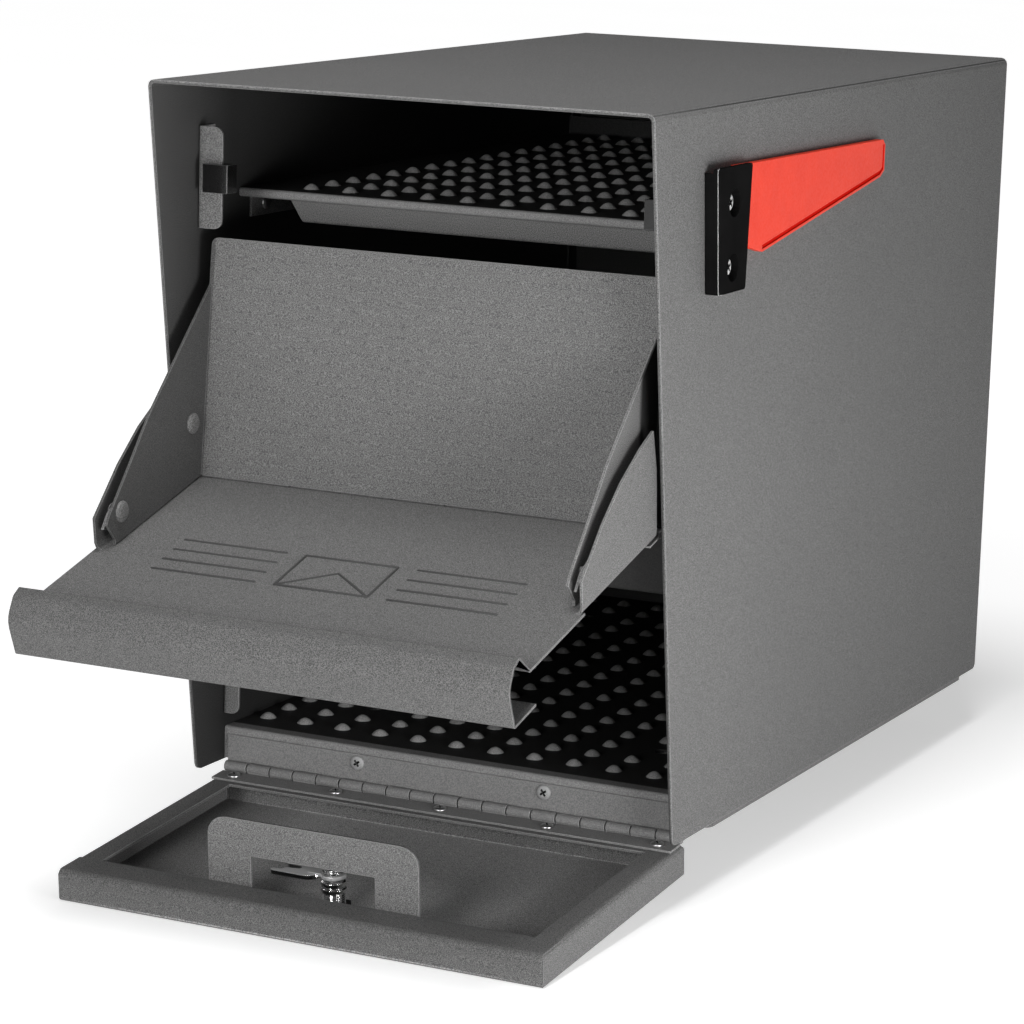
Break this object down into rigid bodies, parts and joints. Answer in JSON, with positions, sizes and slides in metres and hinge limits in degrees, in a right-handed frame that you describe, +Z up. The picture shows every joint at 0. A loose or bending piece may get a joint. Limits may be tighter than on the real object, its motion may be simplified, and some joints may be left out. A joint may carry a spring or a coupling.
{
  "type": "parcel drop box",
  "caption": "Curbside steel parcel box with a tipping hopper door on top, a lower locking door on a piano hinge, an inner mail shelf and a turning side flag.",
  "frame": {"origin": "middle of the underside of the mounting plate, where the box stands on its post", "axes": "+Z up, +X towards the side with the flag, -Y towards the front with the two doors"},
  "size_m": [0.313, 0.7005, 0.4443],
  "materials": {
    "powder_coat": "charcoal grey powder coat with a fine speckle",
    "inner_coat": "thin dark powder coat inside the casing",
    "hinge_steel": "dark oxide piano hinge and spacers",
    "screw_steel": "zinc-plated screws, rivets and hinge pins",
    "chrome": "polished plated lock",
    "black_plastic": "glossy moulded black",
    "black_rubber": "matt black rubber",
    "red_plastic": "satin moulded red"
  },
  "bodies": {
    "root": {"back_panel": "inner_coat", "bolt_spacer_1": "hinge_steel", "bolt_spacer_2": "hinge_steel", "bolt_spacer_3": "hinge_steel", "bolt_spacer_4": "hinge_steel", "crossbar_hinge_leaf": "hinge_steel", "door_stop_left": "powder_coat", "door_stop_right": "powder_coat", "flag_bracket": "black_plastic", "flag_nut_1": "screw_steel", "flag_nut_2": "screw_steel", "flag_screw_1": "screw_steel", "flag_screw_2": "screw_steel", "flange_screw_1": "screw_steel", "flange_screw_2": "screw_steel", "floor_hinge_leaf": "hinge_steel", "floor_pan": "inner_coat", "hopper_hinge_pin": "screw_steel", "hopper_stop_left": "powder_coat", "hopper_stop_right": "powder_coat", "latch_crossbar": "inner_coat", "lower_hinge_pin": "screw_steel", "mounting_plate": "powder_coat", "outer_shell": "powder_coat", "shelf_rail_left": "inner_coat", "shelf_rail_right": "inner_coat", "shelf_rivet_left_1": "screw_steel", "shelf_rivet_left_2": "screw_steel", "shelf_rivet_left_3": "screw_steel", "shelf_rivet_right_1": "screw_steel", "shelf_rivet_right_2": "screw_steel", "shelf_rivet_right_3": "screw_steel", "shelf_stiffener": "inner_coat", "stop_bumper_left": "black_rubber", "stop_bumper_right": "black_rubber", "upper_shelf": "inner_coat"},
    "hopper": {"baffle": "powder_coat", "hopper_door": "powder_coat", "hopper_hinge_leaf": "hinge_steel", "wing_brace_left": "powder_coat", "wing_brace_right": "powder_coat", "wing_rivet_front_left": "powder_coat", "wing_rivet_front_right": "powder_coat", "wing_rivet_rear_left": "powder_coat", "wing_rivet_rear_right": "powder_coat"},
    "lock_cam": {"cam_nut": "chrome", "lock_cam": "chrome", "lock_plug": "chrome"},
    "lower_door": {"door_hinge_leaf": "hinge_steel", "leaf_screw_1": "hinge_steel", "leaf_screw_2": "hinge_steel", "leaf_screw_3": "hinge_steel", "leaf_screw_4": "hinge_steel", "leaf_screw_5": "hinge_steel", "lock_barrel": "chrome", "lock_guard_plate": "powder_coat", "lock_nut": "chrome", "lower_door": "powder_coat"},
    "flag": {"flag": "red_plastic"}
  },
  "joints": [
    {"name": "lower_door_hinge", "type": "hinge", "parent": "root", "child": "lower_door", "pos_m": [0, -0.23829, 0.00025], "axis": [-1, 0, 0], "range_deg": [0, 86.4]},
    {"name": "lock_turn", "type": "hinge", "parent": "lower_door", "child": "lock_cam", "pos_m": [0, -0.37205, -0.01436], "axis": [0, -0.0819, 0.9966], "range_deg": [0, 90]},
    {"name": "hopper_hinge", "type": "hinge", "parent": "root", "child": "hopper", "pos_m": [0, -0.281, 0.18], "axis": [-1, 0, 0], "range_deg": [0, 94]},
    {"name": "flag_pivot", "type": "hinge", "parent": "root", "child": "flag", "pos_m": [0.1555, -0.2317, 0.355], "axis": [1, 0, 0], "range_deg": [0, 90]}
  ]
}
